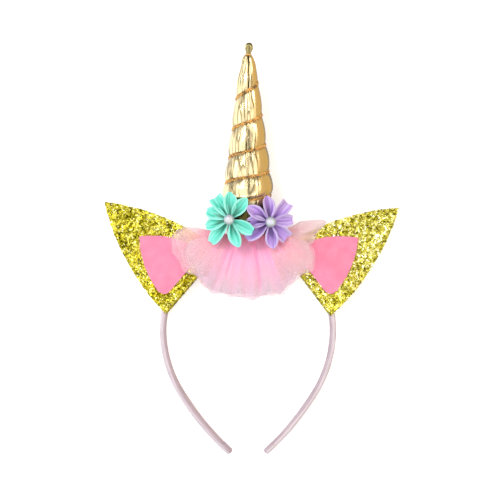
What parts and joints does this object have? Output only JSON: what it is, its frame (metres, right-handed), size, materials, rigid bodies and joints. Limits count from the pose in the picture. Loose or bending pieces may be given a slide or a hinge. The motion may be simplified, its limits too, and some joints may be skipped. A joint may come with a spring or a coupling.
{
  "type": "unicorn horn headband",
  "caption": "Costume headband with a stuffed spiral horn, folded glitter ears, gathered tulle and two ribbon flowers; it is worn over the top of the head.",
  "frame": {"origin": "on the surface the headband lies on, under the middle of its box", "axes": "+X to the right as seen from the front, +Y from the band's ends to the horn's tip, +Z out of the headband's front"},
  "size_m": [0.2114, 0.2946, 0.038],
  "materials": {
    "satin_ribbon": "pale pink satin ribbon wrapped over the band",
    "gold_cloth": "crinkled metallic champagne gold cloth",
    "thread": "orange-brown thread",
    "glitter_sheet": "coarse gold glitter on a foam sheet",
    "pink_felt": "pink felt",
    "tulle": "fine pink net, gathered",
    "teal_ribbon": "teal satin ribbon",
    "purple_ribbon": "purple satin ribbon",
    "pearl": "white pearl lustre"
  },
  "bodies": {
    "root": {"headband": "satin_ribbon", "horn": "gold_cloth", "horn_tip": "gold_cloth", "spiral_thread": "thread", "ear_left": "glitter_sheet", "ear_right": "glitter_sheet", "inner_ear_left": "pink_felt", "inner_ear_right": "pink_felt", "tulle_back": "tulle", "tulle_fan": "tulle", "tulle_lobe_left": "tulle", "tulle_lobe_right": "tulle", "tulle_tuft_right": "tulle", "teal_pearl": "pearl", "purple_pearl": "pearl", "teal_petal_1": "teal_ribbon", "teal_petal_2": "teal_ribbon", "teal_petal_3": "teal_ribbon", "teal_petal_4": "teal_ribbon", "teal_petal_5": "teal_ribbon", "teal_petal_6": "teal_ribbon", "teal_petal_7": "teal_ribbon", "teal_petal_8": "teal_ribbon", "purple_petal_1": "purple_ribbon", "purple_petal_2": "purple_ribbon", "purple_petal_3": "purple_ribbon", "purple_petal_4": "purple_ribbon", "purple_petal_5": "purple_ribbon", "purple_petal_6": "purple_ribbon", "purple_petal_7": "purple_ribbon", "purple_petal_8": "purple_ribbon"}
  },
  "joints": []
}
